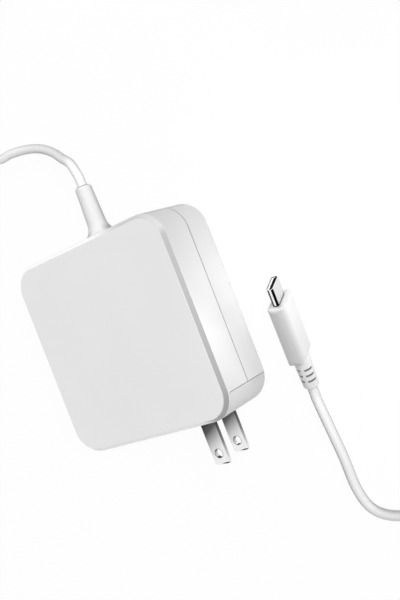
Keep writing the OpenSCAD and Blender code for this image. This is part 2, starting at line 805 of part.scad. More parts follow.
// Small upright board that sets the output voltage
module control_board() {
    color(board_green) translate([control_board_at[0], control_board_at[1], top_z]) {
        block([-control_w / 2, 0, 0], [control_w / 2, 1, control_h]);
        block([-3, -1, control_h - 9], [3, 0, control_h - 3]);
    }
}

// Conductors from the lead down to the board
module lead_wires() {
    color(copper) for (x = [-wire_pitch / 2, wire_pitch / 2]) {
        y_rod(x, relief_z, wire_d, relief_inner_y - wire_run, relief_inner_y);
        translate([x, relief_inner_y - wire_run, top_z]) cylinder(d = wire_d, h = relief_z - top_z);
        translate([x, relief_inner_y - wire_run, relief_z]) sphere(d = wire_d);
    }
}

// Tapered strain relief, flared where it meets the body and held by a neck
// and a flange in the wall
module strain_relief() {
    root_r = relief_root_d / 2;
    tip_r = relief_tip_d / 2;
    core_r = tip_r - relief_tip_r;
    edge_y = relief_len - relief_tip_r;
    color(cord_white) translate([0, half_h, relief_z]) rotate([-90, 0, 0]) {
        rotate_extrude() {
            polygon([[0, relief_flare_l], [root_r, relief_flare_l], [tip_r, edge_y], [0, edge_y]]);
            square([core_r, relief_len]);
            translate([core_r, edge_y]) intersection() {
                circle(relief_tip_r);
                square(relief_tip_r);
            }
            difference() {
                square([relief_rim_r, relief_flare_l]);
                translate([root_r + relief_flare_r, relief_flare_l]) circle(relief_flare_r);
            }
        }
        translate([0, 0, -wall]) cylinder(d = relief_neck_d - 2 * lip_gap, h = wall);
        translate([0, 0, -wall - relief_flange_t]) cylinder(d = relief_flange_d, h = relief_flange_t);
    }
}

// Space that the module fills, drawn in by the running gap
module module_block() {
    block([bay_x + module_gap, -half_h - past, -past], [half_w + past, module_top, bay_z - module_gap]);
}

// Pocket in the module's upper side for the closing plate
module base_pocket(low, high) {
    block([bay_x + module_gap + base_rim, low, base_rim],
        [half_w - base_rim, high, bay_z - module_gap - base_rim]);
}

// Corner shell with the blade slots, the barrel bore and the contact sockets' seats
module module_shell() {
    color(white) difference() {
        intersection() {
            body_form();
            module_block();
        }
        base_pocket(base_y, module_top + past);
        // the barrel and the way that the blades turn through
        block([pivot_x - barrel_r - fold_gap, -half_h - past, mid_z - barrel_l / 2 - fold_gap],
            [pivot_x + barrel_r + fold_gap, pivot_y, mid_z + barrel_l / 2 + fold_gap]);
        translate([pivot_x, pivot_y, mid_z - barrel_l / 2 - fold_gap])
            cylinder(r = barrel_r + fold_gap, h = barrel_l + 2 * fold_gap);
        for (z = blade_z) {
            block([folded_tip_x - 2 * fold_gap, -half_h - past, z - blade_t / 2 - fold_gap],
                [pivot_x, base_y + overlap, z + blade_t / 2 + fold_gap]);
        }
        translate([pivot_x, pivot_y, mid_z - barrel_l / 2 - pivot_seat])
            cylinder(d = pivot_d + 2 * pivot_gap, h = barrel_l + 2 * pivot_seat);
        // seats of the contact sockets and the way of the locking stud
        for (z = pin_zs) y_rod(pin_x, z, socket_d, module_top - socket_l, module_top + past);
        y_rod(stud_x, mid_z, stud_d + 2 * fold_gap, bay_y - stud_len - 2 * fold_gap, module_top + past);
        y_rod(stud_x, mid_z, stud_d + 2 * clip_d + 2 * lip_gap, base_y - clip_d - 2 * lip_gap, base_y);
        // channels of the contact springs
        for (i = [0, 1]) spring_strip(i, spring_y, base_y + overlap, lip_gap);
    }
}

// Plate that closes the module, with holes for the pins and the stud
module module_base() {
    color(dark) difference() {
        intersection() {
            base_pocket(base_y, module_top);
            body_form();
        }
        for (z = pin_zs) y_rod(pin_x, z, pin_d + 4 * pin_gap, base_y - past, module_top + past);
        y_rod(stud_x, mid_z, stud_d + 2 * fold_gap, base_y - past, module_top + past);
    }
}

// Round sockets that take the contact pins
module contact_sockets() {
    color(copper) for (z = pin_zs) {
        difference() {
            y_rod(pin_x, z, socket_d, module_top - socket_l, spring_y);
            y_rod(pin_x, z, pin_d + 2 * pin_gap, module_top - socket_l + socket_t, past);
        }
    }
}

// Outline of the strip from a blade's root to its socket
module spring_strip(i, low, high, gap) {
    z = blade_z[1 - i];
    end_z = pin_zs[i];
    half = spring_w / 2 + gap;
    block([pivot_x - half, low, z - half], [spring_x + half, high, z + half]);
    block([spring_x - half, low, min(z, end_z) - half], [spring_x + half, high, max(z, end_z) + half]);
    block([spring_x - half, low, end_z - half], [pin_x - pin_d / 2 + gap, high, end_z + half]);
}

module contact_springs() {
    color(copper) difference() {
        for (i = [0, 1]) spring_strip(i, spring_y, base_y, 0);
        for (z = pin_zs) y_rod(pin_x, z, pin_d + 4 * pin_gap, -half_h, past);
    }
}

// Open wire ring that grips the locking stud
module stud_clip() {
    color(nickel) translate([stud_x, base_y - clip_d / 2 - lip_gap, mid_z]) rotate([-90, 20, 0])
        rotate_extrude(angle = 320) translate([stud_d / 2 + pin_gap + clip_d / 2, 0]) circle(d = clip_d);
}

// Barrel that holds both blades and turns on the pivot pin
module blade_carrier() {
    color(white) difference() {
        translate([pivot_x, pivot_y, mid_z - barrel_l / 2]) cylinder(r = barrel_r, h = barrel_l);
        translate([pivot_x, pivot_y, 0]) cylinder(d = pivot_d, h = body_t);
        for (z = blade_z) blade_blank(z, 0);
    }
}

module pivot_pin() {
    color(nickel) translate([pivot_x, pivot_y, mid_z - barrel_l / 2 - pivot_seat + pivot_gap])
        cylinder(d = pivot_d, h = barrel_l + 2 * pivot_seat - 2 * pivot_gap);
}

// Flat bar of a blade, from its root in the barrel to its tip
module blade_blank(z, hole) {
    translate([pivot_x, 0, z - blade_t / 2]) linear_extrude(blade_t) difference() {
        union() {
            translate([-root_w / 2, pivot_y]) square([root_w, root_top]);
            translate([-blade_w / 2, blade_tip_y + blade_tip_r])
                square([blade_w, pivot_y + root_neck_y - blade_tip_y - blade_tip_r]);
            translate([-blade_w / 2 + blade_tip_r, blade_tip_y])
                square([blade_w - 2 * blade_tip_r, 2 * blade_tip_r]);
            for (x = [-1, 1]) {
                translate([x * (blade_w / 2 - blade_tip_r), blade_tip_y + blade_tip_r]) circle(blade_tip_r);
            }
        }
        translate([0, pivot_y]) circle(d = pivot_d);
        if (hole > 0) translate([0, blade_tip_y + blade_hole_in]) circle(d = hole);
    }
}

// Blade with its tip bevelled on both broad faces
module blade(z) {
    tip_t = blade_t * 0.45;
    color(nickel) intersection() {
        blade_blank(z, blade_hole_d);
        translate([pivot_x - blade_w, 0, z]) rotate([90, 0, 90]) linear_extrude(2 * blade_w)
            polygon([[blade_tip_y, -tip_t / 2], [blade_tip_y + blade_bevel, -blade_t / 2],
                [0, -blade_t / 2], [0, blade_t / 2], [blade_tip_y + blade_bevel, blade_t / 2],
                [blade_tip_y, tip_t / 2]]);
    }
}

module blade_front() {
    blade(blade_z[0]);
}

module blade_rear() {
    blade(blade_z[1]);
}

module cord_lead() {
    color(cord_white) tube(smooth_path(lead_route), cord_d / 2, cord_sides);
}

module cord_coil() {
    color(cord_white) tube(coil_path, cord_d / 2, coil_sides);
}

module cord_tail() {
    color(cord_white) tube(smooth_path(tail_route), cord_d / 2, cord_sides);
}

// Strap round the bundle of turns
module coil_tie() {
    hollow_r = coil_out_r - layer_turns * coil_pitch - cord_d / 2 - tie_gap;
    inner = sqrt(hollow_r * hollow_r - tie_w * tie_w / 4);
    outer = coil_out_r + cord_d / 2 + tie_gap;
    tie_top_z = coil_top_z + cord_d / 2 + tie_gap + tie_t;
    color(dark) translate([coil_centre[0], coil_centre[1], 0]) rotate(tie_angle)
        translate([(inner + outer) / 2, tie_w / 2, tie_top_z / 2]) rotate([90, 0, 0]) linear_extrude(tie_w)
            difference() {
                round_square(outer - inner + 2 * tie_t, tie_top_z, 3 * tie_t);
                round_square(outer - inner, tie_top_z - 2 * tie_t, 2 * tie_t);
            }
}

// Places a piece of the plug: its own Y runs to the tip and its own Z is upright
module plug_place() {
    translate(plug_at) rotate([plug_pitch, 0, -plug_heading]) rotate([0, plug_roll, 0]) children();
}

// Outline of one side of the overmould, with different radii at its two ends
module grip_side(w) {
    translate([0, grip_rear_r]) square([w, grip_l - grip_rear_r - grip_front_r]);
    translate([grip_rear_r, 0]) square([w - 2 * grip_rear_r, grip_l]);
    for (x = [grip_rear_r, w - grip_rear_r]) translate([x, grip_rear_r]) circle(grip_rear_r);
    translate([grip_front_r, grip_l / 2]) square([w - 2 * grip_front_r, grip_l / 2]);
    for (x = [grip_front_r, w - grip_front_r]) {
        translate([x, grip_l - grip_front_r]) circle(grip_front_r);
    }
}

// Rounded grip, before it is placed
module grip_form() {
    translate([0, boot_l, 0]) intersection() {
        rotate([-90, 0, 0]) linear_extrude(grip_l) round_square(grip_t, grip_w, grip_edge_r);
        translate([-grip_t / 2, 0, -grip_w]) linear_extrude(2 * grip_w) grip_side(grip_t);
        translate([grip_t, 0, -grip_w / 2]) rotate([0, -90, 0]) linear_extrude(2 * grip_t)
            grip_side(grip_w);
    }
}

module plug_overmould() {
    color(cord_white) plug_place() grip_form();
}

// Tapered boot with rows of part-round slots that let it bend
module plug_boot() {
    tip_r = boot_tip_d / 2;
    root_r = boot_root_d / 2;
    end = boot_l + grip_rear_r;
    color(cord_white) plug_place() difference() {
        rotate([-90, 0, 0]) difference() {
            rotate_extrude() {
                polygon([[0, boot_edge_r], [tip_r, boot_edge_r], [root_r, boot_l], [root_r, end], [0, end]]);
                square([tip_r - boot_edge_r, boot_edge_r]);
                translate([tip_r - boot_edge_r, boot_edge_r]) circle(boot_edge_r);
            }
            for (row = [0:slot_rows - 1], turn = [0:3]) {
                translate([0, 0, slot_first + row * slot_pitch]) rotate(turn * 90 + 45 - slot_angle / 2)
                    rotate_extrude(angle = slot_angle) translate([tip_r - slot_depth, 0])
                        square([root_r, slot_w]);
            }
        }
        grip_form();
    }
}

// Flat section with fully round sides
module stadium(w, t) {
    square([t, w - t], center = true);
    for (y = [-1, 1]) translate([0, y * (w - t) / 2]) circle(d = t);
}

// Metal sleeve of the plug, open at the tip
module plug_sleeve() {
    color(nickel) plug_place() translate([0, boot_l + grip_l, 0]) rotate([-90, 0, 0]) linear_extrude(sleeve_l)
        difference() {
            stadium(sleeve_w, sleeve_t);
            stadium(sleeve_w - 2 * sleeve_wall, sleeve_t - 2 * sleeve_wall);
        }
}

// Plastic insert that carries the contacts, with a slot for the receptacle's tongue
module plug_insulator() {
    color(dark) plug_place() translate([0, boot_l + grip_l, 0]) difference() {
        rotate([-90, 0, 0]) linear_extrude(sleeve_l - insert_back)
            stadium(sleeve_w - 2 * sleeve_wall, sleeve_t - 2 * sleeve_wall);
        block([-tongue_slot_t / 2, sleeve_l - tongue_slot_l, -tongue_slot_w / 2],
            [tongue_slot_t / 2, sleeve_l, tongue_slot_w / 2]);
        contact_rows();
    }
}

// Two rows of thin contacts set into the walls of the slot
module contact_rows() {
    for (side = [-1, 1], i = [0:contact_count - 1]) {
        translate([side * (tongue_slot_t / 2 + contact_t / 2), sleeve_l - tongue_slot_l / 2 - insert_back,
            (i - (contact_count - 1) / 2) * contact_pitch])
            cube([contact_t, tongue_slot_l - 2 * insert_back, contact_w], center = true);
    }
}

module plug_contacts() {
    color(gold) plug_place() translate([0, boot_l + grip_l, 0]) contact_rows();
}

front_cover();
rear_housing();
inlet_block();
inlet_pins();
locking_stud();
inlet_leads();
main_board();
insulating_sheet();
transformer_core();
winding_former();
transformer_winding();
input_capacitor();
choke_core();
choke_winding();
bridge_rectifier();
mains_fuse();
filter_capacitor();
safety_capacitor();
primary_heat_sink();
power_switch();
secondary_heat_sink();
output_rectifier();
output_capacitors();
optocoupler();
control_board();
lead_wires();
strain_relief();
module_shell();
module_base();
contact_sockets();
contact_springs();
stud_clip();
blade_carrier();
pivot_pin();
blade_front();
blade_rear();
cord_lead();
cord_coil();
cord_tail();
coil_tie();
plug_overmould();
plug_boot();
plug_sleeve();
plug_insulator();
plug_contacts();
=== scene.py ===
# %% [markdown]
# # A wall-plug power adapter and its lead
# A white moulded adapter lies on its back with its mains blades folded out. A
# thin white lead leaves its far side and ends in a small flat plug. The solids
# come ready from the part itself. This lesson adds the camera, the light, the
# soft lead and the finishes.

# %% Load the part
import math
import bpy
import bmesh
from mathutils import Matrix, Quaternion, Vector


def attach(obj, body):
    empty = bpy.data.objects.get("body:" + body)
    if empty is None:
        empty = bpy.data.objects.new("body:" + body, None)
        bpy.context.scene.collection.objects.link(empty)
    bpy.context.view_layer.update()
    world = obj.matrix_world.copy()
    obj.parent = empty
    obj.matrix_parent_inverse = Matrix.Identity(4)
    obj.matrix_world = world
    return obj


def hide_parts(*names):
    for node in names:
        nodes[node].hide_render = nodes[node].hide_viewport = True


MM = 0.001  # one millimetre in the scene's metres

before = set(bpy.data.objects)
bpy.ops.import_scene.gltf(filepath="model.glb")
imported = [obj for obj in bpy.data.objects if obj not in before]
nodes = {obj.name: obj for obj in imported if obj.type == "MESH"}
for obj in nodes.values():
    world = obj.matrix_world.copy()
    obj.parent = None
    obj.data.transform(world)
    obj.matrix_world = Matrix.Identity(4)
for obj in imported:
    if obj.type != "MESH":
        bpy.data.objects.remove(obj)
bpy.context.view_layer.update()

# %% [markdown]
# ## Camera
# The view looks steeply down on the plain face from its right side. The frame
# is upright, so the 36 mm side of the sensor is the frame's height, and a
# focal length of about 50 mm gives a calm, product-like perspective.

# %% Camera
camera_data = bpy.data.cameras.new("camera")
camera_data.sensor_width = 36.0
camera_data.lens = 49.949
camera_data.clip_start = 0.01
camera_data.clip_end = 20.0
camera = bpy.data.objects.new("camera", camera_data)
camera.location = (0.206149, 0.008206, 0.249310)
camera.rotation_mode = "QUATERNION"
camera.rotation_quaternion = Quaternion((0.933742, -0.066363, 0.306784, -0.172065))
bpy.context.collection.objects.link(camera)
scene = bpy.context.scene
scene.camera = camera
scene.view_settings.view_transform = "Standard"
print("camera", round(camera.location.length / MM), "mm from the middle of the back")

# %% [markdown]
# ## Small helpers
# Colours are written as hex values, as a paint chart gives them, and turned
# into the linear values that a renderer adds up. One function adds a node with
# its settings and its links, so a material reads as a short list. An input may
# be a whole node, and then the link comes from the first output that it uses.
# Sockets that share a name go by their number, such as _6 and _7 for the two
# colours of a Mix node. Four settings come back often enough to have a name.

# %% Helpers
SMOOTH = {"interpolation_type": "SMOOTHSTEP"}  # for MapRange: ease in and out
PRODUCT = {"operation": "MULTIPLY"}  # for Math: one value times another
COAT = {"data_type": "RGBA"}  # for Mix: lay the second colour over the first
SHADE = {"data_type": "RGBA", "blend_type": "MULTIPLY"}  # for Mix: darken one by the other


def colour(hex_value):
    """Linear red, green, blue and alpha of an sRGB hex value."""
    parts = [int(hex_value[i:i + 2], 16) / 255 for i in (1, 3, 5)]
    return [c / 12.92 if c <= 0.04045 else ((c + 0.055) / 1.055) ** 2.4 for c in parts] + [1.0]


def add(tree, kind, settings=None, **inputs):
    """A shader node with its settings. An input is a value, or a node or socket to link from."""
    node = tree.nodes.new("ShaderNode" + kind)
    for name, value in (settings or {}).items():
        setattr(node, name, value)
    for name, value in inputs.items():
        socket = node.inputs[int(name[1:]) if name[1:].isdigit() else name.replace("_", " ")]
        if isinstance(value, bpy.types.Node):
            value = next(output for output in value.outputs if output.enabled)
        if isinstance(value, bpy.types.NodeSocket):
            tree.links.new(value, socket)
        else:
            socket.default_value = value
    return node


def new_material(name):
    """An empty node material, its tree and its output node."""
    material = bpy.data.materials.new(name)
    material.use_nodes = True
    material.node_tree.nodes.clear()
    return material, material.node_tree, add(material.node_tree, "OutputMaterial")


def with_stops(node, *stops):
    """The ramp node, with a colour at each (place, hex colour) stop."""
    elements = node.color_ramp.elements
    for element, (place, shade) in zip(elements, (stops[0], stops[-1])):
        element.position = place
        element.color = colour(shade)
    for place, shade in stops[1:-1]:
        elements.new(place).color = colour(shade)
    return node


def away_from(tree, value, level):
    """How far value lies from level, on either side."""
    gap = add(tree, "Math", {"operation": "SUBTRACT"}, _0=value, _1=level)
    return add(tree, "Math", {"operation": "ABSOLUTE"}, _0=gap)


def reach(tree, one, other):
    """How far two steps at right angles reach together."""
    flat = add(tree, "CombineXYZ", X=one, Y=other)
    return add(tree, "VectorMath", {"operation": "LENGTH"}, _0=flat)


def facing_along(tree, direction):
    """1 where the surface looks along direction, 0 across it and -1 away from it."""
    normal = add(tree, "TexCoord").outputs["Normal"]
    return add(tree, "VectorMath", {"operation": "DOT_PRODUCT"}, _0=normal, _1=tuple(direction))


print("helpers ready; mid grey is", round(colour("#808080")[0], 4), "in linear light")

# %% [markdown]
# ## Floor and surroundings
# The adapter lies on a plain white sweep. To the camera the floor is nearly a
# pure white, with a little of its real shading left in, so that the object
# keeps a soft shadow. To the object it is a matt board of a pale grey, which
# throws some light back up at the side walls. Mirrors and glass see the same
# white as the camera does. The surroundings are split in the same way, into a
# white backdrop and a weaker fill light.

# %% Floor
floor_half = 3.0
floor_mesh = bpy.data.meshes.new("floor")
grid = bmesh.new()
bmesh.ops.create_grid(grid, x_segments=1, y_segments=1, size=floor_half)
grid.to_mesh(floor_mesh)
grid.free()
floor = bpy.data.objects.new("floor", floor_mesh)
floor.location.z = -0.1 * MM  # just under the object, so that no two faces share a plane
bpy.context.collection.objects.link(floor)


def shown_rays(tree):
    """1 for rays that come from the camera, straight or by a mirror or glass."""
    rays = add(tree, "LightPath").outputs
    direct = add(tree, "Math", {"operation": "MAXIMUM"}, _0=rays["Is Camera Ray"], _1=rays["Is Glossy Ray"])
    return add(tree, "Math", {"operation": "MAXIMUM"}, _0=direct, _1=rays["Is Transmission Ray"])


glow_share = 0.94  # the rest of what the camera sees is the board's real shading
sweep, tree, output = new_material("white_paper_sweep")
board = add(tree, "Mix", COAT, _0=shown_rays(tree), _6=colour("#c8c8c8"), _7=colour("#fafafa"))
paper = add(tree, "BsdfDiffuse", Color=board)
glow = add(tree, "Emission", Color=(1, 1, 1, 1), Strength=1.0)
share = add(tree, "Math", PRODUCT, _0=shown_rays(tree), _1=glow_share)
mixed = add(tree, "MixShader", _0=share, _1=paper, _2=glow)
tree.links.new(mixed.outputs[0], output.inputs["Surface"])
floor_mesh.materials.append(sweep)

fill_strength = 0.24
world = bpy.data.worlds.new("studio")
scene.world = world
world.use_nodes = True
tree = world.node_tree
tree.nodes.clear()
output = add(tree, "OutputWorld")
backdrop = add(tree, "Background", Color=(1, 1, 1, 1), Strength=1.0)
fill = add(tree, "Background", Color=(1, 1, 1, 1), Strength=fill_strength)
mixed = add(tree, "MixShader", _0=shown_rays(tree), _1=fill, _2=backdrop)
tree.links.new(mixed.outputs[0], output.inputs["Surface"])
print("floor and surroundings made; the fill light is", fill_strength)

# %% [markdown]
# ## Light
# A broad soft box stands high on the right and lights the plain face evenly.
# Three weaker ones stand low, beyond the lead's end, beyond the blades' end and
# on the left, and rim the outline. A small one stands close to the right side
# wall, so that the wall is brightest at its middle and falls off towards both
# corners.

# %% Lights
def soft_box(name, place, target, size, power):
    """A rectangular lamp at place that shines on target and that no camera sees."""
    data = bpy.data.lights.new(name, "AREA")
    data.shape = "RECTANGLE"
    data.size, data.size_y = size
    data.energy = power
    box = bpy.data.objects.new(name, data)
    box.location = place
    box.rotation_mode = "QUATERNION"
    box.rotation_quaternion = (Vector(target) - Vector(place)).to_track_quat("-Z", "Y")
    box.visible_camera = False
    bpy.context.collection.objects.link(box)
    return box


middle = (0, 0, 0.02)
rim_size = (0.9, 0.4)
lamps = [soft_box("key", (0.85, 0.10, 0.98), middle, (0.8, 0.8), 12.2),
         soft_box("back_rim", (-0.15, 1.12, 0.42), middle, rim_size, 5.0),
         soft_box("front_rim", (-0.15, -1.12, 0.42), middle, rim_size, 2.0),
         soft_box("left_rim", (-1.15, 0.05, 0.42), middle, rim_size, 1.0),
         soft_box("side", (0.120, -0.004, 0.036), (0.038, -0.008, 0.006), (0.04, 0.03), 0.023)]
print("lights:", [lamp.name for lamp in lamps])

# %% [markdown]
# ## The lead
# The real lead is a round cable in a soft white jacket. It is one curve: its
# centre line is drawn through a few dozen listed points, and round and round
# in the coil by a formula. Each point's handles lie along the line between its
# neighbours, and each is a third as long as its own piece of the route, which
# keeps the route free of kinks. The curve's own round bevel gives it its
# thickness: the bevel is 1 m deep, and each point scales it to half the
# cable's 3.7 mm, so that the curve's box is as thick as the cable too.
#
# The route is the solids' own but for one point of the tail. That point lies
# 2.8 mm further out than in the solid, so that the lead stays out of view there.

# %% Lead
cord_d = 3.7
coil_x, coil_y, coil_bottom = 105.1, 116.9, 2.85
coil_turns, coil_layers, steps = 9.25, 4, 24
coil_outer, coil_pitch, coil_rise = 25.9, 4.3, 4.25
half_climb = 0.25  # a climb to the next layer takes this part of a turn on either side
turns_in_layer = coil_turns / coil_layers
coil_top = coil_bottom + coil_rise * (coil_layers - 1)
right, back = coil_x + coil_outer, coil_y + coil_outer
lead_route = [(0, 58, 14.25), (0, 60.2, 14.25), (-0.8, 64.4, 14.1), (-3, 68.2, 12.9),
              (-7.6, 71.7, 10.7), (-13.5, 76.1, 7.5), (-21.5, 80.8, 4.4), (-31, 84.4, 2.3),
              (-41, 86.5, 1.85), (-48, 86.9, 1.85), (-55.5, 89.9, 1.85), (-59, 96.8, 1.85),
              (-57, 104, 1.85), (-44, 122, 1.85), (-31, 135, 1.85), (-17, 142.8, 1.85),
              (0, 143.2, 1.85), (33, 142.9, 1.85), (65, back, 3.4), (91, back, coil_top - 2),
              (97.5, back, coil_top - 0.4), (coil_x - cord_d, back, coil_top)]
moved_point = (131.3, 46, 1.85)
tail_route = [(right, coil_y - cord_d, coil_bottom), (right, coil_y - 2 * cord_d, coil_bottom),
              (right, 92, 1.9), moved_point, (118.5, 13.5, 1.85), (108, -20.5, 1.85),
              (91, -72, 1.85), (83.5, -84, 1.85), (75.5, -89.1, 1.85), (66.5, -89.5, 1.85),
              (59.4, -86, 1.85), (56.4, -78.6, 1.85), (55.9, -66, 1.85), (54.9, -53, 1.85),
              (54.26, -44.43, 1.87), (54.43, -41.95, 2.12), (54.92, -39.62, 2.89), (55.3, -38.3, 3.5)]


def coil_point(turn):
    """A point of the coil: in and out at a steady rate, and up where it turns back."""
    layer = min(int(turn / turns_in_layer + 1e-9), coil_layers - 1)
    part = turn - layer * turns_in_layer
    radius = coil_outer - coil_pitch * (part if layer % 2 == 0 else turns_in_layer - part)
    height = coil_bottom
    for k in range(1, coil_layers):
        gone = min(max(turn - k * turns_in_layer, -half_climb), half_climb)
        height += coil_rise * (1 - math.cos(math.tau * (gone + half_climb))) / 2
    angle = math.tau * turn
    return (coil_x + radius * math.cos(angle), coil_y + radius * math.sin(angle), height)


coil = [coil_point(i / steps) for i in range(int(coil_turns * steps), -1, -1)]
line = [Vector(p) * MM for p in lead_route + coil + tail_route]
lying_z = cord_d / 2 * MM + 1e-6  # a point up to this height lies on the floor

lead_curve = bpy.data.curves.new("lead", "CURVE")
lead_curve.dimensions = "3D"
lead_curve.bevel_depth = 1.0
lead_curve.bevel_resolution = 6
lead_curve.resolution_u = 8
lead_curve.use_fill_caps = True
spline = lead_curve.splines.new("BEZIER")
last = len(line) - 1
spline.bezier_points.add(last)
for i, point in enumerate(line):
    before, after = line[max(i - 1, 0)], line[min(i + 1, last)]
    along = after - before
    if i == 1:
        along = point - before
    if i == last - 1:
        along = after - point
    if point.z <= lying_z:
        along.z = 0.0
    along.normalize()
    bezier = spline.bezier_points[i]
    bezier.handle_left_type = bezier.handle_right_type = "FREE"
    bezier.co = point
    bezier.radius = cord_d / 2 * MM
    bezier.handle_left = point - along * (point - before).length / 3
    bezier.handle_right = point + along * (after - point).length / 3
lead = bpy.data.objects.new("lead", lead_curve)
bpy.context.collection.objects.link(lead)
lead_length = sum((b - a).length for a, b in zip(line, line[1:]))
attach(lead, "adapter")
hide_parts("cord_lead", "cord_coil", "cord_tail")
print("lead is", round(lead_length, 3), "m long with", len(line), "points")

# %% [markdown]
# ## Places on the plug
# The plug leans on the end of its boot, so its finishes are laid out in its own
# directions: x through its thickness, y along to its tip and z across its
# width. One more direction, far_way, runs straight across the camera's view of
# the plug, towards its shaded side. The shades that are painted on it follow
# that direction.

# %% Places on the plug
plug_at, plug_pitch, plug_heading, plug_roll = Vector((55.3, -38.3, 3.5)) * MM, 24, 16, 9
plug_turn = (Matrix.Rotation(math.radians(-plug_heading), 3, "Z")
             @ Matrix.Rotation(math.radians(plug_pitch), 3, "X")
             @ Matrix.Rotation(math.radians(plug_roll), 3, "Y"))
broad_way, tip_way, narrow_way = plug_turn.col
far_way = (0.454 * narrow_way - 0.891 * broad_way).normalized()
boot_l, grip_l, sleeve_l = 12.5 * MM, 24.5 * MM, 6.65 * MM


def in_plug(tree, place):
    """x, y and z in the plug's own directions, from the end of its boot."""
    local = add(tree, "Mapping", {"vector_type": "TEXTURE"}, Vector=place, Location=plug_at,
                Rotation=plug_turn.to_euler("XYZ"))
    return add(tree, "SeparateXYZ", Vector=local).outputs


def across_plug(tree):
    """0 where the plug's surface looks along far_way, and 1 where it looks away."""
    return add(tree, "MapRange", Value=facing_along(tree, far_way), From_Min=1.0, From_Max=-1.0)


print("plug's tip at", [round(c / MM, 1) for c in plug_at + tip_way * (boot_l + grip_l + sleeve_l)], "mm")

# %% [markdown]
# ## White housing plastic
# The housing is injection-moulded polycarbonate with white pigment. The mould
# was spark-eroded, which leaves a fine even grain that takes the mirror off the
# gloss. Its refractive index is 1.58. The real grain is about 0.1 mm across, a
# quarter of a pixel here, so it is drawn 0.35 mm across and very shallow.

# %% Moulded plastic
flow_clouds = 28.0  # per metre, so each is about 36 mm across


def moulded_plastic(name, base, rough=0.38, grain_mm=0.35, grain_depth=0.02, tint=()):
    """Pigmented moulded plastic with an eroded grain and faint flow clouds."""
    material, tree, output = new_material(name)
    place = add(tree, "TexCoord").outputs["Object"]
    grain = add(tree, "TexNoise", Vector=place, Scale=1000 / grain_mm, Detail=2.0)
    clouds = add(tree, "TexNoise", Vector=place, Scale=flow_clouds, Detail=3.0)
    bump = add(tree, "Bump", Height=grain, Distance=grain_depth * MM, Strength=0.6)
    gloss = add(tree, "MapRange", SMOOTH, Value=clouds, From_Min=0.3, From_Max=0.7,
                To_Min=rough - 0.03, To_Max=rough + 0.04)
    pale = with_stops(add(tree, "ValToRGB", Fac=clouds), (0.3, base[0]), (0.7, base[1]))
    for paint in tint:
        pale = paint(tree, place, pale)
    shader = add(tree, "BsdfPrincipled", Base_Color=pale, Roughness=gloss, IOR=1.58, Normal=bump)
    tree.links.new(shader.outputs[0], output.inputs["Surface"])
    return material


print("moulded plastic ready")

# %% [markdown]
# ## Painted shades
# White plastic on a white sweep in soft light shows little of its form. Here
# the shades that bring it out are painted into the colours, by place on the part
# and by fixed directions. This is a short cut, and it has a price: paint that
# runs across one view suits that view, and it stays where it is when the light
# or the view changes, as a stain would. Stronger light from one side, and
# darker things round the object for metal to mirror, are the truer way. Each
# paint is one function, whose name ends in _tint, and a material does without it
# when its name is taken out of the material's line.

# %% Shades of the housing
parting_z = 13.6 * MM
module_line_z = 25.9 * MM
under_bevel, over_bevel = 26.64 * MM, 26.68 * MM  # from the walls to the bevel
inside_face, outside_face = 28.46 * MM, 28.49 * MM  # from the bevel to the plain face


def groove_tint(tree, place, pale):
    """Painted shade: a thin grey line on the parting line, so that its fine groove shows."""
    z = add(tree, "SeparateXYZ", Vector=place).outputs["Z"]
    in_groove = add(tree, "MapRange", SMOOTH, Value=away_from(tree, z, parting_z),
                    From_Min=0.28 * MM, From_Max=0.16 * MM)
    return add(tree, "Mix", COAT, _0=in_groove, _6=pale, _7=colour("#6c6c6c"))


def chamfer_tint(tree, place, pale):
    """Painted shade on the bevel round the face: white on its left and rear, light
    grey at the rear right corner, and shaded along its right side, most at the
    blades' end."""
    x, y, z = add(tree, "SeparateXYZ", Vector=place).outputs
    over_walls = add(tree, "MapRange", SMOOTH, Value=z, From_Min=under_bevel, From_Max=over_bevel)
    under_face = add(tree, "MapRange", SMOOTH, Value=z, From_Min=outside_face, From_Max=inside_face)
    on_bevel = add(tree, "Math", PRODUCT, _0=over_walls, _1=under_face)

    on_right = add(tree, "MapRange", SMOOTH, Value=x, From_Min=22 * MM, From_Max=37 * MM)
    depth = add(tree, "MapRange", Value=y, From_Min=28 * MM, From_Max=-30 * MM, To_Min=0.46, To_Max=0.92)
    shaded = add(tree, "Math", PRODUCT, _0=on_right, _1=depth)
    before_rear = add(tree, "MapRange", SMOOTH, Value=y, From_Min=36 * MM, From_Max=28 * MM)
    shaded = add(tree, "Math", PRODUCT, _0=shaded, _1=before_rear)
    tone = with_stops(add(tree, "ValToRGB", Fac=shaded), (0.05, "#ffffff"), (0.28, "#d6d6d6"),
                      (0.46, "#aaaaaa"), (0.68, "#9a9a9a"), (0.92, "#939393"))

    # Painted shade at the bevel's rear right corner.
    right_half = add(tree, "MapRange", SMOOTH, Value=x, From_Min=6 * MM, From_Max=22 * MM)
    at_rear = add(tree, "MapRange", SMOOTH, Value=y, From_Min=27 * MM, From_Max=34 * MM)
    rear_corner = add(tree, "Math", PRODUCT, _0=right_half, _1=at_rear)
    tone = add(tree, "Mix", COAT, _0=rear_corner, _6=tone, _7=colour("#cbcbcb"))

    # Painted shade along the bevel's top edge on the right, so that it shows no bright line.
    near_face = add(tree, "MapRange", SMOOTH, Value=z, From_Min=28.1 * MM, From_Max=28.3 * MM)
    near_right = add(tree, "MapRange", SMOOTH, Value=x, From_Min=20 * MM, From_Max=30 * MM)
    upper_edge = add(tree, "Math", PRODUCT, _0=near_face, _1=near_right)
    tone = add(tree, "Mix", COAT, _0=upper_edge, _6=tone, _7=colour("#c6c6c6"))
    return add(tree, "Mix", COAT, _0=on_bevel, _6=pale, _7=tone)


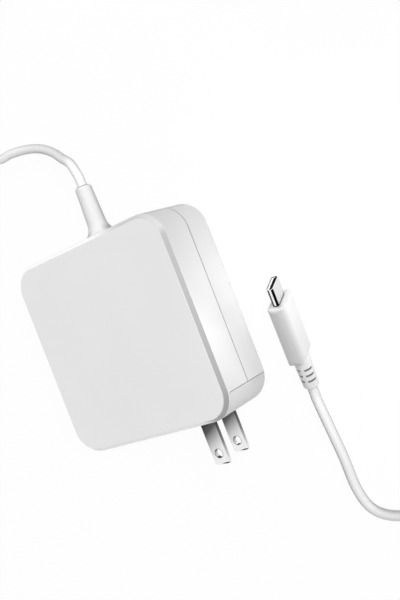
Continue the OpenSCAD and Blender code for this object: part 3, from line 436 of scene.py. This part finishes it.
def wall_tint(tree, place, pale):
    """Painted shade on the walls: palest near the middle of the two sides, greyer
    towards the lead's end and round its right-hand corner, and a little greyer
    towards the top. The face is left almost plain."""
    x, y, z = add(tree, "SeparateXYZ", Vector=place).outputs
    forwards = add(tree, "MapRange", Value=y, From_Min=38 * MM, From_Max=-38 * MM)
    tone = with_stops(add(tree, "ValToRGB", Fac=forwards), (0.0, "#d4d4d4"), (0.13, "#dadada"),
                      (0.27, "#e2e2e2"), (0.45, "#f1f1f1"), (0.63, "#ffffff"), (0.84, "#eeeeee"),
                      (1.0, "#e4e4e4"))
    upwards = add(tree, "MapRange", Value=z, From_Min=2 * MM, From_Max=26 * MM)
    rise = with_stops(add(tree, "ValToRGB", Fac=upwards), (0.0, "#ffffff"), (0.45, "#f9f9f9"),
                      (1.0, "#f0f0f0"))
    tone = add(tree, "Mix", SHADE, _0=1.0, _6=tone, _7=rise)
    # Painted shade where the walls face the lead's end, over their right part.
    corner = with_stops(add(tree, "ValToRGB", Fac=facing_along(tree, (0, 1, 0))), (0.84, "#ffffff"),
                        (0.93, "#e4e4e4"), (0.97, "#c8c8c8"), (0.99, "#aaaaaa"))
    right_part = add(tree, "MapRange", SMOOTH, Value=x, From_Min=8 * MM, From_Max=28 * MM)
    walls = add(tree, "Mix", SHADE, _0=right_part, _6=tone, _7=corner)

    # Painted shade across the face, a touch greyer to the right.
    rightwards = add(tree, "MapRange", Value=x, From_Min=-30 * MM, From_Max=30 * MM)
    across = with_stops(add(tree, "ValToRGB", Fac=rightwards), (0.0, "#ffffff"), (1.0, "#fafafa"))
    face = add(tree, "Mix", SHADE, _0=1.0, _6=pale, _7=across)
    on_walls = add(tree, "MapRange", SMOOTH, Value=z, From_Min=over_bevel, From_Max=under_bevel)
    return add(tree, "Mix", COAT, _0=on_walls, _6=face, _7=walls)


def module_tint(tree, place, pale):
    """A fine line runs round the module just under the cover's bevel."""
    z = add(tree, "SeparateXYZ", Vector=place).outputs["Z"]
    on_line = add(tree, "MapRange", SMOOTH, Value=away_from(tree, z, module_line_z),
                  From_Min=0.20 * MM, From_Max=0.10 * MM)
    return add(tree, "Mix", COAT, _0=on_line, _6=pale, _7=colour("#b4b4b4"))


cover_plastic = moulded_plastic("polycarbonate_cover", ("#ebebeb", "#eeeeee"),
                                tint=(wall_tint, chamfer_tint, groove_tint))
housing_plastic = moulded_plastic("polycarbonate_housing", ("#ebebeb", "#eeeeee"),
                                  tint=(wall_tint, groove_tint))
module_plastic = moulded_plastic("polycarbonate_module", ("#d6d6d6", "#d9d9d9"), tint=(module_tint,))
print("made", cover_plastic.name, housing_plastic.name, module_plastic.name)

# %% [markdown]
# ## The plug's plastics
# The overmould is the same polycarbonate as the housing, and the insert in the
# sleeve's mouth is a black liquid crystal polymer, which flows into thin walls.
# Both carry painted shades: the overmould across the view, and the insert on
# one half of its front.

# %% Plug plastics
def grip_tint(tree, place, pale):
    """Painted shade on the overmould: shaded across the view, with a slightly grey front."""
    tone = with_stops(add(tree, "ValToRGB", Fac=across_plug(tree)), (0.0, "#e6e6e6"), (0.27, "#cbcbcb"),
                      (0.525, "#bebebe"), (0.77, "#d2d2d2"), (0.9, "#e2e2e2"), (0.95, "#eaeaea"))
    front = add(tree, "MapRange", SMOOTH, Value=facing_along(tree, tip_way), From_Min=0.3, From_Max=0.9)
    tone = add(tree, "Mix", COAT, _0=front, _6=tone, _7=colour("#d9d9d9"))
    return add(tree, "Mix", SHADE, _0=1.0, _6=pale, _7=tone)


def insert_tint(tree, place, pale):
    """A pale patch on one half of the insert's front."""
    x = in_plug(tree, place)[0]
    one_half = add(tree, "MapRange", SMOOTH, Value=x, From_Min=-0.1 * MM, From_Max=-0.2 * MM)
    front = add(tree, "MapRange", SMOOTH, Value=facing_along(tree, tip_way), From_Min=0.6, From_Max=0.8)
    patch = add(tree, "Math", PRODUCT, _0=one_half, _1=front)
    return add(tree, "Mix", COAT, _0=patch, _6=pale, _7=colour("#e8e8e8"))


grip_plastic = moulded_plastic("polycarbonate_grip", ("#eaeaea", "#ededed"), rough=0.4,
                               tint=(grip_tint,))
insert_plastic = moulded_plastic("liquid_crystal_polymer", ("#101112", "#151617"), rough=0.5,
                                 tint=(insert_tint,))
print("made", grip_plastic.name, insert_plastic.name)

# %% [markdown]
# ## Soft jacket
# The lead's jacket, the strain relief and the boot are a thermoplastic
# elastomer: soft, a little waxy, and less glossy than the housing. The real one
# lets a little light in. At this size that can't be seen, so a plain opaque
# base with a higher roughness does. The bumps of its skin are finer than a
# pixel, and are drawn 1.1 mm across and very shallow. Its shades are painted.

# %% Elastomer
skin_bumps = 900.0  # per metre, so each is about 1.1 mm across
skin_marks = 60.0  # per metre, so each is about 17 mm across


def soft_jacket(name, base, rough, tint=()):
    """Opaque elastomer with a fine skin and faint marks."""
    material, tree, output = new_material(name)
    place = add(tree, "TexCoord").outputs["Object"]
    skin = add(tree, "TexNoise", Vector=place, Scale=skin_bumps, Detail=1.0)
    marks = add(tree, "TexNoise", Vector=place, Scale=skin_marks, Detail=4.0)
    bump = add(tree, "Bump", Height=skin, Distance=0.01 * MM, Strength=0.15)
    pale = with_stops(add(tree, "ValToRGB", Fac=marks), (0.35, base[0]), (0.7, base[1]))
    for paint in tint:
        pale = paint(tree, place, pale)
    gloss = add(tree, "MapRange", SMOOTH, Value=marks, From_Min=0.3, From_Max=0.7,
                To_Min=rough, To_Max=rough + 0.08)
    shader = add(tree, "BsdfPrincipled", Base_Color=pale, Roughness=gloss, IOR=1.5, Normal=bump)
    tree.links.new(shader.outputs[0], output.inputs["Surface"])
    return material


def relief_tint(tree, place, pale):
    """Painted shade on the strain relief: shaded across the view and in its root's
    flare, and grey round its tip."""
    y = add(tree, "SeparateXYZ", Vector=place).outputs["Y"]
    side = facing_along(tree, (0.77, 0, -0.64))
    across = add(tree, "MapRange", Value=side, From_Min=-1.0, From_Max=1.0)
    tone = with_stops(add(tree, "ValToRGB", Fac=across), (0.0, "#dedede"), (0.1, "#f0f0f0"),
                      (0.3, "#fdfdfd"), (0.78, "#ffffff"), (0.9, "#eeeeee"), (1.0, "#cccccc"))
    shaded = add(tree, "Mix", SHADE, _0=1.0, _6=pale, _7=tone)

    # Painted shade in the flare at the root, darker on the right side than on the left.
    at_root = add(tree, "MapRange", SMOOTH, Value=y, From_Min=43.0 * MM, From_Max=38.6 * MM)
    on_right = add(tree, "MapRange", SMOOTH, Value=side, From_Min=0.1, From_Max=0.75)
    right_root = add(tree, "Math", PRODUCT, _0=at_root, _1=on_right)
    shaded = add(tree, "Mix", COAT, _0=right_root, _6=shaded, _7=colour("#7c7c7c"))

    close_to_root = add(tree, "MapRange", SMOOTH, Value=y, From_Min=41.5 * MM, From_Max=38.6 * MM)
    on_left = add(tree, "MapRange", SMOOTH, Value=side, From_Min=-0.3, From_Max=-0.9)
    left_root = add(tree, "Math", PRODUCT, _0=close_to_root, _1=on_left)
    shaded = add(tree, "Mix", COAT, _0=left_root, _6=shaded, _7=colour("#989898"))

    at_end = add(tree, "MapRange", SMOOTH, Value=y, From_Min=56.0 * MM, From_Max=56.6 * MM)
    outward = add(tree, "MapRange", SMOOTH, Value=facing_along(tree, (0, 1, 0)), From_Min=0.50, From_Max=0.80)
    tip = add(tree, "Math", PRODUCT, _0=at_end, _1=outward)
    return add(tree, "Mix", COAT, _0=tip, _6=shaded, _7=colour("#9c9c9c"))


def lead_tint(tree, place, pale):
    """Painted shade on the lead: white where it faces about the way of the camera or
    straight away from it, and grey on its flanks. The stretch by the housing is
    painted paler."""
    y = add(tree, "SeparateXYZ", Vector=place).outputs["Y"]
    crown = add(tree, "Math", {"operation": "ABSOLUTE"}, _0=facing_along(tree, (0.56, -0.34, 0.755)))
    tone = with_stops(add(tree, "ValToRGB", Fac=crown), (0.0, "#bcbcbc"), (0.3, "#d6d6d6"),
                      (0.6, "#f4f4f4"), (1.0, "#ffffff"))
    by_housing = add(tree, "MapRange", SMOOTH, Value=y, From_Min=30 * MM, From_Max=60 * MM)
    paler = add(tree, "Mix", COAT, _0=by_housing, _6=pale, _7=colour("#ffffff"))
    return add(tree, "Mix", SHADE, _0=1.0, _6=paler, _7=tone)


def boot_tint(tree, place, pale):
    """Painted shade on the boot: shaded across the view, with grey in its slots."""
    x, y, z = in_plug(tree, place)
    tone = with_stops(add(tree, "ValToRGB", Fac=across_plug(tree)), (0.0, "#e0e0e0"), (0.3, "#e4e4e4"),
                      (0.6, "#e0e0e0"), (1.0, "#f0f0f0"))
    shaded = add(tree, "Mix", SHADE, _0=1.0, _6=pale, _7=tone)
    # Painted shade in the slots.
    below_skin = add(tree, "MapRange", SMOOTH, Value=reach(tree, x, z),
                     From_Min=2.78 * MM, From_Max=2.70 * MM)
    on_boot = add(tree, "MapRange", SMOOTH, Value=y, From_Min=10.5 * MM, From_Max=10.0 * MM)
    in_slot = add(tree, "Math", PRODUCT, _0=below_skin, _1=on_boot)
    return add(tree, "Mix", COAT, _0=in_slot, _6=shaded, _7=colour("#868686"))


jacket = soft_jacket("elastomer_jacket", ("#e2e2e2", "#e6e6e6"), 0.6, (lead_tint,))
relief_rubber = soft_jacket("elastomer_relief", ("#e8e8e8", "#ececec"), 0.5, (relief_tint,))
boot_rubber = soft_jacket("elastomer_boot", ("#f0f0f0", "#f4f4f4"), 0.5, (boot_tint,))
strap_rubber = soft_jacket("elastomer_strap", ("#26282b", "#2e3033"), 0.55)
lead.data.materials.append(jacket)
print("made", jacket.name, relief_rubber.name, boot_rubber.name, strap_rubber.name)

# %% [markdown]
# ## Plated metal
# The blades are stamped from brass strip and nickel plated. Stamping and
# rolling leave fine lines along the blade, so the plate's bump and gloss are
# stretched along them. The real lines are some hundredths of a millimetre wide.
# They are drawn 0.4 mm wide on the blades, so that a trace of them shows, and
# 0.12 mm wide on the rest.
#
# Bright plate shows its surroundings, and these are all white here. So the dark
# end of each blade, the rim of its hole and the bands along the sleeve are
# painted into the metal's colour. Darker surroundings would give them as a true
# mirror image, without paint.

# %% Metals
def plated_metal(name, base, rough, line_mm=0.12, stretch=(1, 0.05, 1), tint=()):
    """Metal with fine lines along the direction that stretch gives a small number."""
    material, tree, output = new_material(name)
    place = add(tree, "TexCoord").outputs["Object"]
    drawn = add(tree, "Mapping", Vector=place, Scale=stretch)
    lines = add(tree, "TexNoise", Vector=drawn, Scale=1000 / line_mm, Detail=3.0)
    bump = add(tree, "Bump", Height=lines, Distance=0.004 * MM, Strength=0.5)
    gloss = add(tree, "MapRange", SMOOTH, Value=lines, From_Min=0.3, From_Max=0.7,
                To_Min=rough - 0.05, To_Max=rough + 0.06)
    shade = with_stops(add(tree, "ValToRGB", Fac=lines), (0.3, base[0]), (0.7, base[1]))
    for paint in tint:
        shade = paint(tree, place, shade)
    shader = add(tree, "BsdfPrincipled", Base_Color=shade, Metallic=1.0, Roughness=gloss, Normal=bump)
    tree.links.new(shader.outputs[0], output.inputs["Surface"])
    return material


hole_x, hole_y = 20.3 * MM, -50.3 * MM
slant_rate = -0.55  # how far the edge of the blades' dark end leans


def blade_tint(tree, place, shade):
    """Painted mirror image of a blade: dark by the moulding and bright at the
    tip, with a darker narrow side, a rim and walls of the hole, and a dark tip."""
    x, y, _ = add(tree, "SeparateXYZ", Vector=place).outputs
    slant = add(tree, "Math", {"operation": "MULTIPLY_ADD"}, _0=x, _1=slant_rate, _2=y)
    outward = add(tree, "MapRange", Value=slant, From_Min=-47.5 * MM, From_Max=-64.0 * MM)
    brighter = with_stops(add(tree, "ValToRGB", Fac=outward), (0.0, "#101011"), (0.3, "#5c5c5d"),
                          (0.62, "#cfcfd0"), (0.85, "#f4f4f4"))
    face = add(tree, "Mix", SHADE, _0=1.0, _6=shade, _7=brighter)

    step_x = add(tree, "Math", {"operation": "SUBTRACT"}, _0=x, _1=hole_x)
    step_y = add(tree, "Math", {"operation": "SUBTRACT"}, _0=y, _1=hole_y)
    from_hole = reach(tree, step_x, step_y)
    right_half = add(tree, "MapRange", SMOOTH, Value=x, From_Min=19.9 * MM, From_Max=20.4 * MM)
    rim = add(tree, "Mix", COAT, _0=right_half, _6=colour("#3c3e44"), _7=colour("#8e92a0"))
    on_rim = add(tree, "MapRange", SMOOTH, Value=from_hole, From_Min=1.90 * MM, From_Max=1.75 * MM)
    face = add(tree, "Mix", COAT, _0=on_rim, _6=face, _7=rim)

    bright_side = add(tree, "MapRange", SMOOTH, Value=facing_along(tree, (0.9, 0.44, 0)),
                      From_Min=0.75, From_Max=0.95)
    wall = add(tree, "Mix", COAT, _0=bright_side, _6=colour("#26272c"), _7=colour("#ffffff"))
    on_wall = add(tree, "MapRange", SMOOTH, Value=from_hole, From_Min=1.64 * MM, From_Max=1.61 * MM)
    face = add(tree, "Mix", COAT, _0=on_wall, _6=face, _7=wall)

    at_tip = add(tree, "MapRange", SMOOTH, Value=y, From_Min=-53.85 * MM, From_Max=-54.05 * MM)
    on_right = add(tree, "MapRange", SMOOTH, Value=x, From_Min=19.0 * MM, From_Max=22.0 * MM)
    tip = add(tree, "Math", PRODUCT, _0=at_tip, _1=on_right)
    face = add(tree, "Mix", COAT, _0=tip, _6=face, _7=colour("#1c1c1e"))

    along_edge = add(tree, "MapRange", Value=y, From_Min=-38.0 * MM, From_Max=-54.5 * MM)
    edge = with_stops(add(tree, "ValToRGB", Fac=along_edge), (0.0, "#0c0c0d"), (0.5, "#7c7c7e"),
                      (1.0, "#f4f4f4"))
    narrow = add(tree, "MapRange", SMOOTH, Value=facing_along(tree, (1, 0, 0)), From_Min=0.7, From_Max=0.95)
    return add(tree, "Mix", COAT, _0=narrow, _6=face, _7=edge)


def sleeve_tint(tree, place, shade):
    """Painted mirror image and shade on the sleeve: dark and bright bands along its
    length, laid out across the view, a rim half bright and half dark, and a dark
    line of shade by the overmould."""
    x, y, _ = in_plug(tree, place)
    bands = with_stops(add(tree, "ValToRGB", Fac=across_plug(tree)), (0.0, "#3a3a3a"), (0.17, "#3a3a3a"),
                       (0.24, "#ffffff"), (0.42, "#ffffff"), (0.49, "#020202"), (0.80, "#020202"),
                       (0.88, "#ffffff"), (1.0, "#ffffff"))
    banded = add(tree, "Mix", SHADE, _0=1.0, _6=shade, _7=bands)
    root_y = boot_l + grip_l
    # Painted shade: a dark line where the sleeve leaves the overmould.
    by_overmould = add(tree, "MapRange", SMOOTH, Value=y, From_Min=root_y + 0.5 * MM,
                       From_Max=root_y + 0.3 * MM)
    rooted = add(tree, "Mix", COAT, _0=by_overmould, _6=banded, _7=colour("#151515"))
    dark_half = add(tree, "MapRange", SMOOTH, Value=x, From_Min=-0.8 * MM, From_Max=-1.0 * MM)
    rim = add(tree, "Mix", COAT, _0=dark_half, _6=colour("#ffffff"), _7=colour("#202020"))
    on_rim = add(tree, "MapRange", SMOOTH, Value=facing_along(tree, tip_way), From_Min=0.6, From_Max=0.8)
    return add(tree, "Mix", COAT, _0=on_rim, _6=rooted, _7=rim)


blade_plate = plated_metal("nickel_plate_blades", ("#f2f2f2", "#fafafa"), 0.22, line_mm=0.4,
                           tint=(blade_tint,))
sleeve_steel = plated_metal("stainless_sleeve", ("#dededf", "#ececed"), 0.2, tint=(sleeve_tint,))
pin_plate = plated_metal("nickel_plate_pins", ("#cfcfd0", "#dededf"), 0.25)
copper = plated_metal("bare_copper", ("#c8845a", "#d8946a"), 0.35)
gold_flash = plated_metal("gold_flash", ("#d8b056", "#e6c06a"), 0.25)
sink_aluminium = plated_metal("mill_aluminium", ("#c6c8ca", "#d6d8da"), 0.4, stretch=(0.05, 1, 1))
print("made", blade_plate.name, sleeve_steel.name, "and four plain metals")

# %% [markdown]
# ## Inner parts
# What stands on the circuit board shows only when the housing is open. Each
# part still gets a finish for the plastic, resin or ceramic that it is really
# made of. The moulded plastic serves again with another colour, grain and
# roughness, because none of these has a pattern that would show at this size.
# Most of them are close to it in refractive index too, so all keep its 1.58.

# %% Inner finishes
black_plastic = moulded_plastic("glass_filled_nylon", ("#1d1e20", "#242527"), rough=0.5, grain_depth=0.03)
carrier_plastic = moulded_plastic("acetal_carrier", ("#e4e4e4", "#e9e9e9"), rough=0.4)
board_mask = moulded_plastic("solder_mask", ("#1f5a35", "#24663d"), rough=0.3, grain_mm=0.8)
ferrite = moulded_plastic("ground_ferrite", ("#2a2a2c", "#343436"), rough=0.6, grain_depth=0.05)
can_sleeve = moulded_plastic("shrink_sleeve", ("#191a26", "#20212f"), rough=0.25, grain_depth=0.01)
film_box = moulded_plastic("film_capacitor_box", ("#c9b02c", "#d4bc3a"), rough=0.35)
dipped_resin = moulded_plastic("dipped_epoxy", ("#2a5fae", "#326bbd"), rough=0.2, grain_depth=0.01)
print("inner finishes made; the scene has", len(bpy.data.materials), "materials")

# %% [markdown]
# ## One finish for each solid
# Every solid of the part is one piece of one material, as the real pieces are,
# so a list of finishes with the solids that wear them is all it takes. The
# lead's three solids are hidden, because the curve stands for them, and they
# get its jacket too.

# %% Give every solid its finish
finishes = {
    cover_plastic: ["front_cover"],
    housing_plastic: ["rear_housing"],
    module_plastic: ["module_shell"],
    grip_plastic: ["plug_overmould"],
    relief_rubber: ["strain_relief"],
    boot_rubber: ["plug_boot"],
    strap_rubber: ["coil_tie"],
    jacket: ["cord_lead", "cord_coil", "cord_tail"],
    blade_plate: ["blade_front", "blade_rear"],
    sleeve_steel: ["plug_sleeve"],
    pin_plate: ["inlet_pins", "locking_stud", "stud_clip", "pivot_pin"],
    copper: ["inlet_leads", "transformer_winding", "choke_winding", "lead_wires", "contact_sockets",
             "contact_springs"],
    gold_flash: ["plug_contacts"],
    sink_aluminium: ["primary_heat_sink", "secondary_heat_sink"],
    black_plastic: ["inlet_block", "insulating_sheet", "winding_former", "bridge_rectifier", "mains_fuse",
                    "power_switch", "output_rectifier", "optocoupler", "module_base"],
    insert_plastic: ["plug_insulator"],
    carrier_plastic: ["blade_carrier"],
    board_mask: ["main_board", "control_board"],
    ferrite: ["transformer_core", "choke_core"],
    can_sleeve: ["input_capacitor", "output_capacitors"],
    film_box: ["filter_capacitor"],
    dipped_resin: ["safety_capacitor"]}
finished = set()
for finish, names in finishes.items():
    for name in names:
        mesh = nodes[name].data
        mesh.materials.clear()
        mesh.materials.append(finish)
        finished.add(name)
print("finished", len(finished), "of", len(nodes), "solids; left:", sorted(set(nodes) - finished))
